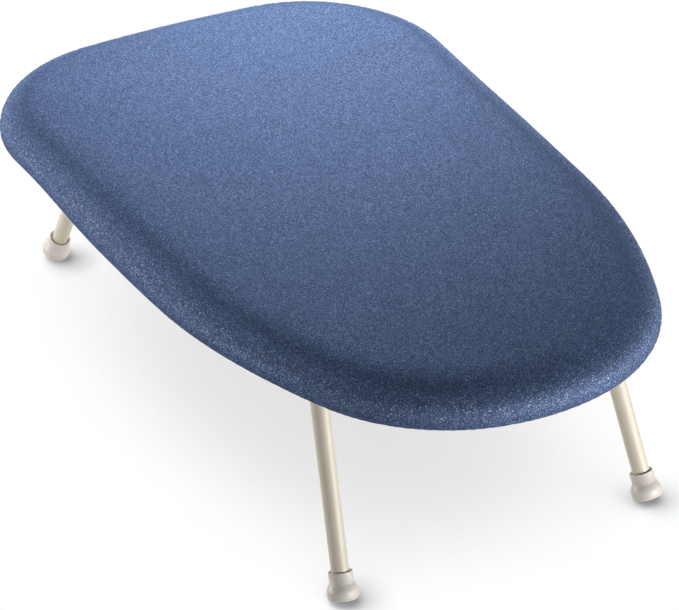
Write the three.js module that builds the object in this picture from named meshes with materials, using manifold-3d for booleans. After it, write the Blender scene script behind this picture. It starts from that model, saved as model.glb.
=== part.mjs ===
// Tabletop ironing board on two folding leg frames.
// Millimetres. +X points to the nose, +Z up. The origin is on the floor under the middle of the board.

import * as THREE from "three";
import { mergeGeometries, mergeVertices } from "three/addons/utils/BufferGeometryUtils.js";
import Module from "manifold-3d";

const wasm = await Module();
wasm.setup();

// Board outline, seen from above: tangent arcs from the nose round to the tail, angles in degrees
const boardLength = 594;
const boardWidth = 364.5;
const noseTipRadius = 170;
const noseTipTurn = 14.6;
const noseCornerTurn = 64.2;
const sideBowRadius = 420;
const sideTaper = 2.6;
const tailCornerRadius = 118;
const tailCrown = 4;

// Rolled edge, seen in section: an elliptical shoulder down to the widest line, then a tuck under
const boardTopHeight = 180;
const shoulderReach = 40;
const shoulderDrop = 22;
const tuckReach = 8;
const tuckDrop = 6;

// Cover cloth and the elastic in its hem
const coverThickness = 1;
const hemReach = 22;
const hemLip = 6.5;
const elasticDiameter = 2;
const elasticClearance = 0.3;

// Pad and stamped deck
const padThickness = 6;
const layerGap = 0.3;
const deckThickness = 0.6;
const ventDiameter = 14;
const ventPitch = 40;
const ventMargin = 5;

// Cross channels under the deck, hat section
const channelDepth = 14.5;
const channelThickness = 1;
const channelWebWidth = 38;
const channelFlangeWidth = 10;
const channelWallLean = 1.5;
const channelOverhang = 11;
const weldGap = 0.3;

// Stop tabs bent down at the channel ends
const tabLength = 26;
const tabWidth = 26;
const tabThickness = 1.5;
const tabPastCorner = 6;

// Leg frames of bent round tube, angles in degrees
const tubeDiameter = 12.7;
const tubeWall = 1;
const bendRadius = 25;
const legFlare = 5;
const frontPivotFromNose = 132.3;
const frontSplay = 24.6;
const frontLegInset = 21.8;
const rearPivotFromTail = 98;
const rearSplay = 26;
const rearLegInset = 57.2;
const pivotClearance = 0.35;

// Saddles that hold the crossbars, and their rivets
const saddleWidth = 18;
const saddleThickness = 1.5;
const saddleFlange = 10;
const saddleEndPlay = 3;
const rivetShankDiameter = 4;
const rivetHeadDiameter = 7.6;
const rivetHeadHeight = 1.6;
const rivetClearance = 0.3;

// Foot caps
const capLength = 19.6;
const capCollarDiameter = 17;
const capCollarLength = 8;
const capBellDiameter = 22.2;
const capBellLength = 2;
const capShoulderLength = 6.2;
const capBaseDiameter = 18.6;
const socketDepth = 13;
const socketClearance = 0.4;
const footFlatDepth = 0.7;

// Overrun that carries a cutting shape past the faces it cuts
const overrun = 5;

// Facet counts
const noseTipSteps = 2;
const noseCornerSteps = 7;
const sideBowSteps = 3;
const sideSteps = 2;
const tailCornerSteps = 9;
const tailCrownSteps = 2;
const shoulderSteps = 5;
const tuckSteps = 3;
const tubeSides = 12;
const bendSteps = 5;
const ventSides = 8;
const elasticSides = 6;
const rivetSides = 10;
const rivetDomeSteps = 2;
const capSides = 16;
const capRoundSteps = 3;
const saddleBendSteps = 8;

const radians = THREE.MathUtils.degToRad;
const quarterTurn = Math.PI / 2;

// Heights worked out downwards from the top of the cover
const widestHeight = boardTopHeight - shoulderDrop;
const skirtBottom = widestHeight - tuckDrop;
const padOffset = coverThickness + layerGap;
const deckOffset = padOffset + padThickness + layerGap;
const deckUnderside = boardTopHeight - deckOffset - deckThickness;
const webBottom = deckUnderside - weldGap - channelDepth;
const tubeRadius = tubeDiameter / 2;
const pivotHeight = webBottom - pivotClearance - tubeRadius;

// Materials

function finish(color, roughness, metalness) {
  return new THREE.MeshStandardMaterial({ color, roughness, metalness });
}

const coverCloth = finish(0x53658a, 0.55, 0.25);
const padFelt = finish(0xe6e2d8, 0.95, 0);
const deckPaint = finish(0xdcd6c8, 0.45, 0.3);
const legPaint = finish(0xd9cfbb, 0.35, 0.3);
const capPlastic = finish(0xdfd6cd, 0.5, 0);
const rivetSteel = finish(0xb9bbbd, 0.35, 1);
const elasticRubber = finish(0xd8d8d6, 0.9, 0);

// Solids for cutting and joining

function toSolid(geometry) {
  const bare = geometry.clone();
  bare.deleteAttribute("normal");
  bare.deleteAttribute("uv");
  const merged = mergeVertices(bare);
  const vertProperties = merged.attributes.position.array;
  const triVerts = new Uint32Array(merged.index.array);
  return new wasm.Manifold(new wasm.Mesh({ numProp: 3, vertProperties, triVerts }));
}

function toGeometry(solid) {
  const mesh = solid.getMesh();
  const geometry = new THREE.BufferGeometry();
  geometry.setAttribute("position", new THREE.BufferAttribute(mesh.vertProperties, 3));
  geometry.setIndex(new THREE.BufferAttribute(mesh.triVerts, 1));
  geometry.computeVertexNormals();
  return geometry;
}

function cut(geometry, tools) {
  return toGeometry(toSolid(geometry).subtract(toSolid(tools)));
}

// Board outline

// One arc of the half outline: it turns its outward normal from one angle to the next.
function arc(radius, from, to, steps) {
  return { radius, from, to, steps, straight: 0 };
}

// The arcs from the nose tip round one side to the tail. The nose corner's radius and the straight
// side between bow and tail corner follow from the board's width and length.
function outlineArcs() {
  const side = quarterTurn - radians(sideTaper);
  const tailEdge = Math.PI - radians(tailCrown);
  const tip = arc(noseTipRadius, 0, radians(noseTipTurn), noseTipSteps);
  const corner = arc(1, tip.to, radians(noseCornerTurn), noseCornerSteps);
  const bow = arc(sideBowRadius, corner.to, side, sideBowSteps);
  const tail = arc(tailCornerRadius, side, tailEdge, tailCornerSteps);
  const crown = arc(1, tailEdge, Math.PI, tailCrownSteps);
  const width = (a) => a.radius * (Math.sin(a.to) - Math.sin(a.from));
  const length = (a) => a.radius * (Math.cos(a.from) - Math.cos(a.to));
  crown.radius = (boardWidth / 2 - tail.radius * (1 - Math.sin(tail.to))) / Math.sin(crown.from);
  const widthLeft = boardWidth / 2 - width(tip) - width(bow) - tail.radius * (1 - Math.sin(tail.from));
  const lengthLeft = boardLength - length(tip) - length(bow) - length(tail) - length(crown);
  const alongX = Math.sin(bow.to);
  const alongY = Math.cos(bow.to);
  const determinant = width(corner) * alongX - length(corner) * alongY;
  corner.radius = (widthLeft * alongX - lengthLeft * alongY) / determinant;
  bow.straight = (lengthLeft - length(corner)) / alongX;
  return [tip, corner, bow, tail, crown];
}

// Points of the whole outline, anticlockwise from the nose tip, each with its outward normal.
function outlineSamples() {
  const half = [{ x: boardLength / 2, y: 0, normal: 0 }];
  const walk = (x, y, normal) => {
    const last = half[half.length - 1];
    half.push({ x: last.x + x, y: last.y + y, normal });
  };
  for (const piece of outlineArcs()) {
    const turn = (piece.to - piece.from) / piece.steps;
    for (let step = 0; step < piece.steps; step++) {
      const a = piece.from + step * turn;
      const b = a + turn;
      walk(piece.radius * (Math.cos(b) - Math.cos(a)), piece.radius * (Math.sin(b) - Math.sin(a)), b);
    }
    for (let step = 0; step < sideSteps && piece.straight > 0; step++) {
      const stride = piece.straight / sideSteps;
      walk(-stride * Math.sin(piece.to), stride * Math.cos(piece.to), piece.to);
    }
  }
  const otherHalf = half.slice(1, -1).reverse();
  return half.concat(otherHalf.map((p) => ({ x: p.x, y: -p.y, normal: -p.normal })));
}

const outline = outlineSamples();

function ring(inset, height) {
  return outline.map(
    (p) => new THREE.Vector3(p.x - inset * Math.cos(p.normal), p.y - inset * Math.sin(p.normal), height),
  );
}

// How far a point lies inside the outline.
function depthInside(x, y) {
  return Math.min(...outline.map((p) => (p.x - x) * Math.cos(p.normal) + (p.y - y) * Math.sin(p.normal)));
}

// The board's half width at a place along it.
function halfWidthAt(x) {
  for (let i = 1; i < outline.length; i++) {
    const ahead = outline[i - 1];
    const behind = outline[i];
    if (ahead.x >= x && behind.x <= x) {
      return ahead.y + ((behind.y - ahead.y) * (ahead.x - x)) / (ahead.x - behind.x);
    }
  }
  return 0;
}

// Sections of the rolled edge, as [inset from the outline, height] points

// The shoulder, from the flat top down to the widest line, drawn a distance inside the cover.
function shoulder(offset) {
  const points = [];
  for (let step = 0; step <= shoulderSteps; step++) {
    const t = quarterTurn * (1 - step / shoulderSteps);
    const across = shoulderDrop * Math.cos(t);
    const up = shoulderReach * Math.sin(t);
    const size = Math.hypot(across, up);
    const inset = shoulderReach * (1 - Math.cos(t)) + (offset * across) / size;
    points.push([inset, widestHeight + shoulderDrop * Math.sin(t) - (offset * up) / size]);
  }
  return points;
}

// The tuck, from just under the widest line to the board's underside.
function tuck(offset) {
  const points = [];
  for (let step = 1; step <= tuckSteps; step++) {
    const t = (quarterTurn * step) / tuckSteps;
    const across = tuckDrop * Math.cos(t);
    const down = tuckReach * Math.sin(t);
    const size = Math.hypot(across, down);
    const inset = tuckReach * (1 - Math.cos(t)) + (offset * across) / size;
    points.push([inset, widestHeight - tuckDrop * Math.sin(t) + (offset * down) / size]);
  }
  return points;
}

// A section carried round the outline. An open section is closed by flat faces inside its first
// and last rings, and a looped one joins its last ring to its first.
function aroundOutline(section, looped) {
  const rings = section.map(([inset, height]) => ring(inset, height));
  const count = outline.length;
  const positions = rings.flat().flatMap((p) => [p.x, p.y, p.z]);
  const index = [];
  const strips = looped ? rings.length : rings.length - 1;
  for (let i = 0; i < strips; i++) {
    const next = (i + 1) % rings.length;
    for (let j = 0; j < count; j++) {
      const k = (j + 1) % count;
      const [a, b, c, d] = [i * count + j, next * count + j, next * count + k, i * count + k];
      index.push(a, b, c, a, c, d);
    }
  }
  if (!looped) {
    const flat = (points) => points.map((p) => new THREE.Vector2(p.x, p.y));
    const last = (rings.length - 1) * count;
    for (const [a, b, c] of THREE.ShapeUtils.triangulateShape(flat(rings[0]), [])) {
      index.push(a, b, c);
      index.push(last + a, last + c, last + b);
    }
  }
  const geometry = new THREE.BufferGeometry();
  geometry.setAttribute("position", new THREE.Float32BufferAttribute(positions, 3));
  geometry.setIndex(index);
  geometry.computeVertexNormals();
  return geometry;
}

// Cover, with its hem folded back round the elastic

const hemTunnel = elasticDiameter + 2 * elasticClearance;
const hemTop = skirtBottom + 2 * coverThickness + hemTunnel;

function coverGeometry() {
  const hem = [
    [hemReach, skirtBottom],
    [hemReach, hemTop],
    [hemReach - hemLip, hemTop],
    [hemReach - hemLip, hemTop - coverThickness],
    [hemReach - coverThickness, hemTop - coverThickness],
    [hemReach - coverThickness, skirtBottom + coverThickness],
  ];
  const outside = shoulder(0).concat(tuck(0));
  const inside = shoulder(coverThickness).concat(tuck(coverThickness)).reverse();
  return aroundOutline([...outside, ...hem, ...inside], false);
}

function elasticGeometry() {
  const radius = elasticDiameter / 2;
  const inset = hemReach - coverThickness - elasticClearance - radius;
  const height = skirtBottom + coverThickness + elasticClearance + radius;
  const section = [];
  for (let side = 0; side < elasticSides; side++) {
    const t = (2 * Math.PI * side) / elasticSides;
    section.push([inset + radius * Math.cos(t), height + radius * Math.sin(t)]);
  }
  return aroundOutline(section, true);
}

// Pad

function padGeometry() {
  const inside = shoulder(padOffset + padThickness).reverse();
  return aroundOutline([...shoulder(padOffset), ...inside], false);
}

// Deck with its turned-down flange and vent holes

const flangeBottom = skirtBottom + coverThickness + layerGap;

function upright(radius, height, sides) {
  return new THREE.CylinderGeometry(radius, radius, height, sides).rotateX(quarterTurn);
}

// Places of the vents: a triangular pattern that keeps off the rolled edge and off the channels.
function ventPlaces(channels) {
  const places = [];
  const rowPitch = ventPitch * Math.sin(Math.PI / 3);
  const keepOut = channelWebWidth / 2 + channelFlangeWidth + ventDiameter / 2 + ventMargin;
  const edge = shoulderReach + ventDiameter / 2 + ventMargin;
  const rows = Math.ceil(boardWidth / 2 / rowPitch);
  const columns = Math.ceil(boardLength / 2 / ventPitch);
  for (let row = -rows; row <= rows; row++) {
    for (let column = -columns; column <= columns; column++) {
      const x = (column + (row % 2 ? 1 / 2 : 0)) * ventPitch;
      const y = row * rowPitch;
      const clear = channels.every((channel) => Math.abs(x - channel.pivotX) > keepOut);
      if (clear && depthInside(x, y) > edge) places.push([x, y]);
    }
  }
  return places;
}

function deckGeometry(channels) {
  const outside = shoulder(deckOffset);
  const inside = shoulder(deckOffset + deckThickness).reverse();
  const flange = [
    [deckOffset, flangeBottom],
    [deckOffset + deckThickness, flangeBottom],
  ];
  const pan = aroundOutline([...outside, ...flange, ...inside], false);
  const middle = deckUnderside + deckThickness / 2;
  const drill = upright(ventDiameter / 2, deckThickness + 2 * overrun, ventSides);
  const drills = ventPlaces(channels).map(([x, y]) => drill.clone().translate(x, y, middle));
  return cut(pan, mergeGeometries(drills));
}

// Leg ends, as what carries and stops each frame follows from them

// One end of the board: where its frame turns, how wide the crossbar is and which way the legs lean.
function legEnd(name, outward, pivotX, splay, inset) {
  const corner = halfWidthAt(pivotX) - hemReach - inset;
  const setback = bendRadius * Math.tan((quarterTurn - radians(legFlare)) / 2);
  const saddleY = corner - setback - saddleEndPlay - saddleWidth / 2;
  return { name, outward, pivotX, splay, corner, setback, saddleY };
}

const ends = [
  legEnd("front", 1, boardLength / 2 - frontPivotFromNose, radians(frontSplay), frontLegInset),
  legEnd("rear", -1, rearPivotFromTail - boardLength / 2, radians(rearSplay), rearLegInset),
];
const sides = [
  { name: "left", sign: 1 },
  { name: "right", sign: -1 },
];

// Rivet places on a saddle or channel: one on each flange of each saddle
const saddleInnerRadius = tubeRadius + pivotClearance;
const saddleOuterRadius = saddleInnerRadius + saddleThickness;
const rivetReach = saddleOuterRadius + saddleFlange / 2;
const rivetSpots = [
  { name: "inner", reach: -rivetReach },
  { name: "outer", reach: rivetReach },
];

// A flat outline in the XZ plane, given by [x, z] points, made into a bar along Y.
function barAlongY(points, width) {
  const shape = new THREE.Shape(points.map(([x, z]) => new THREE.Vector2(x, z)));
  const bar = new THREE.ExtrudeGeometry(shape, { depth: width, steps: 1, bevelEnabled: false });
  return bar.translate(0, 0, -width / 2).rotateX(quarterTurn);
}

// Cross channel in the frame of its pivot axis, with its stop tabs and rivet holes

function channelBar(end) {
  const foot = webBottom - pivotHeight;
  const head = foot + channelDepth;
  const web = channelWebWidth / 2;
  const top = web + channelWallLean;
  const wall = top - channelThickness;
  const lip = top + channelFlangeWidth;
  const half = [
    [web, foot],
    [top, head - channelThickness],
    [lip, head - channelThickness],
    [lip, head],
    [wall, head],
    [web - channelThickness, foot + channelThickness],
  ];
  const mirrored = half.map(([x, z]) => [-x, z]).reverse();
  return barAlongY([...half, ...mirrored], 2 * (end.corner + channelOverhang));
}

// A stop tab lies flat along the outer side of the open leg frame.
function stopTab(end, side) {
  const tab = new THREE.BoxGeometry(tabThickness, tabWidth, tabLength + tubeRadius);
  const away = tubeRadius + pivotClearance + tabThickness / 2;
  const middle = end.corner + tabPastCorner - tabWidth / 2;
  tab.translate(end.outward * away, side.sign * middle, (tubeRadius - tabLength) / 2);
  return tab.rotateY(-end.outward * end.splay);
}

// The room inside the deck, down to the height of the pivots.
function roomInDeck() {
  const inset = deckOffset + deckThickness + weldGap;
  return aroundOutline([...shoulder(inset), [inset, pivotHeight]], false);
}

function channelGeometry(end) {
  const room = roomInDeck().translate(-end.pivotX, 0, -pivotHeight);
  let solid = toSolid(channelBar(end)).intersect(toSolid(room));
  for (const side of sides) solid = solid.add(toSolid(stopTab(end, side)));
  const height = channelDepth + overrun;
  for (const side of sides) {
    for (const spot of rivetSpots) {
      const drill = upright(rivetShankDiameter / 2 + rivetClearance, height, rivetSides);
      drill.translate(spot.reach, side.sign * end.saddleY, webBottom - pivotHeight);
      solid = solid.subtract(toSolid(drill));
    }
  }
  return toGeometry(solid);
}

// Saddle in the frame of its pivot axis

function saddleGeometry() {
  const top = webBottom - weldGap - pivotHeight;
  const end = saddleOuterRadius + saddleFlange;
  const bend = (radius, from, to) => {
    const points = [];
    for (let step = 0; step <= saddleBendSteps; step++) {
      const t = from + ((to - from) * step) / saddleBendSteps;
      points.push([radius * Math.cos(t), radius * Math.sin(t)]);
    }
    return points;
  };
  const strap = [
    [-end, top],
    [-end, top - saddleThickness],
    [-saddleOuterRadius, top - saddleThickness],
    ...bend(saddleOuterRadius, -Math.PI, 0),
    [saddleOuterRadius, top - saddleThickness],
    [end, top - saddleThickness],
    [end, top],
    [saddleInnerRadius, top],
    ...bend(saddleInnerRadius, 0, -Math.PI),
    [-saddleInnerRadius, top],
  ];
  const drills = rivetSpots.map((spot) => {
    const drill = upright(rivetShankDiameter / 2 + rivetClearance, 2 * overrun, rivetSides);
    return drill.translate(spot.reach, 0, top);
  });
  return cut(barAlongY(strap, saddleWidth), mergeGeometries(drills));
}

// Rivet, its axis upright, from the dome under the saddle to the set head on the channel's web

function rivetGeometry() {
  const shank = rivetShankDiameter / 2;
  const head = rivetHeadDiameter / 2;
  const grip = saddleThickness + weldGap + channelThickness + 2 * layerGap;
  const points = [];
  for (let step = 0; step <= rivetDomeSteps; step++) {
    const t = (quarterTurn * step) / rivetDomeSteps;
    points.push(new THREE.Vector2(head * Math.sin(t), -rivetHeadHeight * Math.cos(t)));
  }
  points.push(new THREE.Vector2(shank, 0));
  points.push(new THREE.Vector2(shank, grip));
  points.push(new THREE.Vector2(head, grip));
  points.push(new THREE.Vector2(shank, grip + rivetHeadHeight));
  points.push(new THREE.Vector2(0, grip + rivetHeadHeight));
  return new THREE.LatheGeometry(points, rivetSides).rotateX(quarterTurn);
}

// Leg frame in the frame of its pivot axis: the crossbar lies along Y and the legs hang down

// The frame's centre line through its stations, each a place and a direction in the YZ plane: the
// two feet and the steps round the two bends.
class FrameLine extends THREE.Curve {
  constructor(corner, setback, reach) {
    super();
    const lean = radians(legFlare);
    const half = [];
    for (let step = 0; step <= bendSteps; step++) {
      const a = ((quarterTurn - lean) * step) / bendSteps;
      const y = corner - setback + bendRadius * Math.sin(a);
      half.push({ y, z: bendRadius * (Math.cos(a) - 1), along: Math.cos(a), up: -Math.sin(a) });
    }
    const [along, up] = [Math.sin(lean), -Math.cos(lean)];
    half.push({ y: corner + reach * along, z: reach * up, along, up });
    const otherHalf = half.map((s) => ({ y: -s.y, z: s.z, along: s.along, up: -s.up })).reverse();
    this.stations = otherHalf.concat(half);
  }

  getUtoTmapping(u) {
    return u;
  }

  getPoint(t, target = new THREE.Vector3()) {
    const place = t * (this.stations.length - 1);
    const i = Math.min(Math.floor(place), this.stations.length - 2);
    const [a, b] = [this.stations[i], this.stations[i + 1]];
    const share = place - i;
    return target.set(0, a.y + (b.y - a.y) * share, a.z + (b.z - a.z) * share);
  }

  getTangent(t, target = new THREE.Vector3()) {
    const station = this.stations[Math.round(t * (this.stations.length - 1))];
    return target.set(0, station.along, station.up);
  }
}

function circlePoints(radius, count) {
  const points = [];
  for (let i = 0; i < count; i++) {
    const t = (2 * Math.PI * (i + 1 / 2)) / count;
    points.push(new THREE.Vector2(radius * Math.cos(t), radius * Math.sin(t)));
  }
  return points;
}

// Foot cap profile, as [radius, height over its base], from the base centre to the socket's floor
function capProfile() {
  const collar = capCollarDiameter / 2;
  const bell = capBellDiameter / 2;
  const base = capBaseDiameter / 2;
  const bellTop = capLength - capCollarLength - capShoulderLength;
  const bellBottom = bellTop - capBellLength;
  const points = [[0, 0]];
  for (let step = 0; step <= capRoundSteps; step++) {
    const t = (quarterTurn * step) / capRoundSteps;
    points.push([base + (bell - base) * Math.sin(t), bellBottom * (1 - Math.cos(t))]);
  }
  for (let step = 0; step <= capRoundSteps; step++) {
    const share = step / capRoundSteps;
    const spread = (bell - collar) * Math.cos(quarterTurn * share);
    points.push([collar + spread, bellTop + capShoulderLength * share]);
  }
  points.push([collar, capLength]);
  points.push([tubeRadius + socketClearance, capLength]);
  points.push([tubeRadius + socketClearance, capLength - socketDepth]);
  points.push([0, capLength - socketDepth]);
  return points;
}

const capPoints = capProfile();

// How far the cap's base centre lies from the crossbar along a leg, so that the leaning cap meets
// the floor with a small flat.
function baseReach(end) {
  const upShare = Math.cos(end.splay) * Math.cos(radians(legFlare));
  const acrossShare = Math.sqrt(1 - upShare * upShare);
  const lowest = Math.max(...capPoints.map(([radius, height]) => radius * acrossShare - height * upShare));
  return (pivotHeight + footFlatDepth - lowest) / upShare;
}

function legFrameGeometry(end) {
  const reach = baseReach(end) - (capLength - socketDepth) - socketClearance;
  const line = new FrameLine(end.corner, end.setback, reach);
  const section = new THREE.Shape(circlePoints(tubeRadius, tubeSides));
  section.holes.push(new THREE.Path(circlePoints(tubeRadius - tubeWall, tubeSides)));
  const steps = line.stations.length - 1;
  return new THREE.ExtrudeGeometry(section, { extrudePath: line, steps, bevelEnabled: false });
}

// A cap in the frame of its pivot axis, cut flat where it meets the floor.
function capGeometry(end, side) {
  const profile = capPoints.map(([radius, height]) => new THREE.Vector2(radius, height));
  const lean = radians(legFlare);
  const cap = new THREE.LatheGeometry(profile, capSides).rotateX(quarterTurn);
  cap.translate(0, 0, -baseReach(end)).rotateX(side.sign * lean);
  cap.translate(0, side.sign * end.corner, 0);
  const floorSize = 2 * (end.corner + baseReach(end));
  const floor = new THREE.BoxGeometry(floorSize, floorSize, floorSize);
  floor.translate(0, 0, -pivotHeight - floorSize / 2).rotateY(end.outward * end.splay);
  return cut(cap, floor);
}

// The whole board

function piece(name, geometry, material) {
  const mesh = new THREE.Mesh(geometry, material);
  mesh.name = name;
  return mesh;
}

function legCarriers(end) {
  const group = new THREE.Group();
  group.position.set(end.pivotX, 0, pivotHeight);
  group.add(piece(end.name + "_cross_channel", channelGeometry(end), deckPaint));
  for (const side of sides) {
    const corner = end.name + "_" + side.name;
    const saddle = piece(corner + "_saddle", saddleGeometry(), deckPaint);
    saddle.position.y = side.sign * end.saddleY;
    group.add(saddle);
    for (const spot of rivetSpots) {
      const rivet = piece(corner + "_" + spot.name + "_rivet", rivetGeometry(), rivetSteel);
      const underSaddle = webBottom - weldGap - saddleThickness - layerGap - pivotHeight;
      rivet.position.set(spot.reach, side.sign * end.saddleY, underSaddle);
      group.add(rivet);
    }
  }
  return group;
}

function legs(end) {
  const group = new THREE.Group();
  group.position.set(end.pivotX, 0, pivotHeight);
  group.rotation.y = -end.outward * end.splay;
  group.add(piece(end.name + "_leg_frame", legFrameGeometry(end), legPaint));
  for (const side of sides) {
    const name = end.name + "_" + side.name + "_foot_cap";
    group.add(piece(name, capGeometry(end, side), capPlastic));
  }
  return group;
}

const board = new THREE.Group();
board.add(piece("cover", coverGeometry(), coverCloth));
board.add(piece("hem_elastic", elasticGeometry(), elasticRubber));
board.add(piece("pad", padGeometry(), padFelt));
board.add(piece("deck", deckGeometry(ends), deckPaint));
for (const end of ends) {
  board.add(legCarriers(end));
  board.add(legs(end));
}

export default board;
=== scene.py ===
"""Looks of a tabletop ironing board: a padded board in steel-blue cloth on two cream tube leg frames.

Lengths are metres in the frame's axes: +X towards the rounded nose, +Z up, the floor at z = 0.
Every new piece is a surface of two parameters, worked out as whole arrays, in place, with its object
at the origin. The straps and cross channels are merged copies of the CAD ones with eased edges.
"""
import math

import bmesh
import bpy
import numpy as np
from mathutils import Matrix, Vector


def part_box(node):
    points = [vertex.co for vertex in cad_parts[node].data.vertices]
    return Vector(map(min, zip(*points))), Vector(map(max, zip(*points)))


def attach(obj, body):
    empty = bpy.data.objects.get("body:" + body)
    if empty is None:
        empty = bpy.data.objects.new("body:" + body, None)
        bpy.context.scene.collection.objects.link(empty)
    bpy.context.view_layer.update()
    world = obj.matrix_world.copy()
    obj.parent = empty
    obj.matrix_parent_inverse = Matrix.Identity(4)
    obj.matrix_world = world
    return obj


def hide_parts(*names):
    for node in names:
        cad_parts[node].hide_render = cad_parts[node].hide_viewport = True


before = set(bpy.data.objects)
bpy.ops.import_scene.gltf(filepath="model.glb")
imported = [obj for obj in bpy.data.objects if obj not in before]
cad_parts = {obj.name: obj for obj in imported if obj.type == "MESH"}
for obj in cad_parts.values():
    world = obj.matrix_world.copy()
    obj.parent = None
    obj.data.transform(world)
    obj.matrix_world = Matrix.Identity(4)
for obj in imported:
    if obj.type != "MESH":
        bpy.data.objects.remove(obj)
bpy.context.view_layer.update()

# Board outline, angles in degrees: tangent arcs from the nose round to the tail
BOARD_LENGTH = 0.594
BOARD_WIDTH = 0.3645
NOSE_TIP_RADIUS = 0.170
NOSE_TIP_TURN = 14.6
NOSE_CORNER_TURN = 64.2
SIDE_BOW_RADIUS = 0.420
SIDE_TAPER = 2.6
TAIL_CORNER_RADIUS = 0.118
TAIL_CROWN = 4.0
STRAIGHT_STEPS = 40
ARC_STEPS = 160
OUTLINE_SAMPLES = 1200

# The spine on the middle line, to which the top's rings shrink, and how they crowd towards the rim
SPINE_TAIL = -0.15
SPINE_NOSE = 0.13
RING_POWER = 1.2

# Rolled edge in section
TOP_HEIGHT = 0.180
SHOULDER_REACH = 0.040
SHOULDER_DROP = 0.022
SHOULDER_POWER = 1.86
TUCK_REACH = 0.008
TUCK_DROP = 0.006
WIDEST_HEIGHT = TOP_HEIGHT - SHOULDER_DROP
SKIRT_BOTTOM = WIDEST_HEIGHT - TUCK_DROP

# Layers under the cloth
CLOTH_THICKNESS = 0.0008
HEM_REACH = 0.022
HEM_TOP_INSET = 0.0155
HEM_HEIGHT = 0.0046
ELASTIC_RADIUS = 0.0011
PAD_OFFSET = 0.0013
PAD_THICKNESS = 0.006
DECK_OFFSET = 0.0076
DECK_THICKNESS = 0.0006
FLANGE_BOTTOM = 0.1533
VENT_RADIUS = 0.007
VENT_PITCH = 0.040
VENT_MARGIN = 0.005
VENT_SIDES = 40
VENT_ROWS = 6
VENT_COLUMNS = 8
DRILL_HALF_LENGTH = 0.004
CHANNEL_HALF_WIDTH = 0.029
CHANNEL_EASE = 0.00025
SADDLE_EASE = 0.0003

# Relief of the cloth. A band is two places between which something comes in or goes out.
FELT_SWELL = {"pitch": 0.11, "count": 5, "seed": 3}
FELT_RIPPLE = {"pitch": 0.028, "count": 6, "seed": 4}
FELT_SWELL_HEIGHT = 0.00016
FELT_RIPPLE_HEIGHT = 0.00005
GATHER_PITCH = 0.0082
GATHER_HEIGHT = 0.001
GATHER_START = 0.031
GATHER_START_WANDER = 0.008
GATHER_RUN = 0.014
GATHER_EBB_BAND = (0.043, 0.050)
GATHER_HEM_BAND = (0.058, 0.070)
BEND_REACH = 0.115
SLACK_DROOP = 0.0043
SLACK_TAIL_BAND = (-0.16, -0.03)
SLACK_NOSE_BAND = (0.0, 0.19)
DROOP_IN_BAND = (0.036, 0.056)
DROOP_OUT_BAND = (0.060, 0.071)
ROLL_HEIGHT = 0.0010
ROLL_PLACE = 0.037
DIP_DEPTH = 0.0005
DIP_PLACE = 0.0235
ROLL_WIDTH = 0.006

# Heights between which the cloth's painted glints, painted highlight and painted shade come in and go out
SKIRT_FADE = (0.1700, 0.1765)
RIDGE_IN = (0.158, 0.164)
RIDGE_OUT = (0.169, 0.174)
TROUGH_IN = (0.1725, 0.1755)
TROUGH_OUT = (0.1765, 0.1794)

# Cloth colours: its blue, a painted highlight blue, a painted shade blue, and the flakes' blue, partly
# painted glint
CLOTH_BLUE = (0.087, 0.13, 0.247)
RIDGE_HIGHLIGHT_BLUE = (0.17, 0.24, 0.49)
TROUGH_SHADE_BLUE = (0.02, 0.03, 0.06)
FLAKE_GLINT_BLUE = (0.72, 0.83, 1.0)

# Leg frames
TUBE_RADIUS = 0.00635
TUBE_WALL = 0.001
TUBE_SIDES = 40
BORE_SHOWN = 0.012
BEND_RADIUS = 0.025
BAR_STEPS = 8
BEND_STEPS = 16
LEG_STEPS = 12
LEG_FLARE = math.radians(5)
PIVOT_HEIGHT = 0.1503
LEG_ENDS = {
    "front": {"outward": 1, "pivot": 0.1647, "splay": math.radians(24.6), "body": "front_legs"},
    "rear": {"outward": -1, "pivot": -0.199, "splay": math.radians(26.0), "body": "rear_legs"},
}
LEG_INSETS = {"front": 0.0218, "rear": 0.0572}

# Foot caps
CAP_LENGTH = 0.0196
CAP_COLLAR_RADIUS = 0.0085
CAP_COLLAR_LENGTH = 0.008
CAP_BELL_RADIUS = 0.0111
CAP_BELL_LENGTH = 0.002
CAP_SHOULDER_LENGTH = 0.0062
CAP_BASE_RADIUS = 0.0093
CAP_RIM_RADIUS = 0.0005
CAP_MOUTH_WIDTH = 0.0007
CAP_MOUTH_DEPTH = 0.0016
CAP_LIP_EASE = 0.0001
CAP_SIDES = 64
SOCKET_DEPTH = 0.013
SOCKET_CLEARANCE = 0.0004
FOOT_FLAT_DEPTH = 0.0007

# Rivets
RIVET_SHANK_RADIUS = 0.002
RIVET_DOME = 0.0016
RIVET_SIDES = 32
SET_HEAD_SHARE = 0.8
SET_HEAD_NECK_SHARE = 0.96
SET_HEAD_START = 0.3

MERGE_DISTANCE = 2e-6


# Meshes

def new_object(name, points, faces, uv=None, crease=40.0):
    """A mesh object at the origin, its doubles merged, smooth but where faces meet over crease degrees."""
    mesh = bpy.data.meshes.new(name)
    mesh.from_pydata(points.reshape(-1, 3).tolist(), [], faces.tolist())
    if uv is not None:
        layer = mesh.uv_layers.new(name="cut")
        corners = np.zeros(len(mesh.loops), np.int32)
        mesh.loops.foreach_get("vertex_index", corners)
        layer.data.foreach_set("uv", uv.reshape(-1, 2)[corners].astype(np.float32).ravel())
    work = bmesh.new()
    work.from_mesh(mesh)
    bmesh.ops.remove_doubles(work, verts=work.verts, dist=MERGE_DISTANCE)
    work.to_mesh(mesh)
    work.free()
    mesh.polygons.foreach_set("use_smooth", np.ones(len(mesh.polygons), bool))
    mesh.set_sharp_from_angle(angle=math.radians(crease))
    obj = bpy.data.objects.new(name, mesh)
    bpy.context.scene.collection.objects.link(obj)
    return obj


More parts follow.
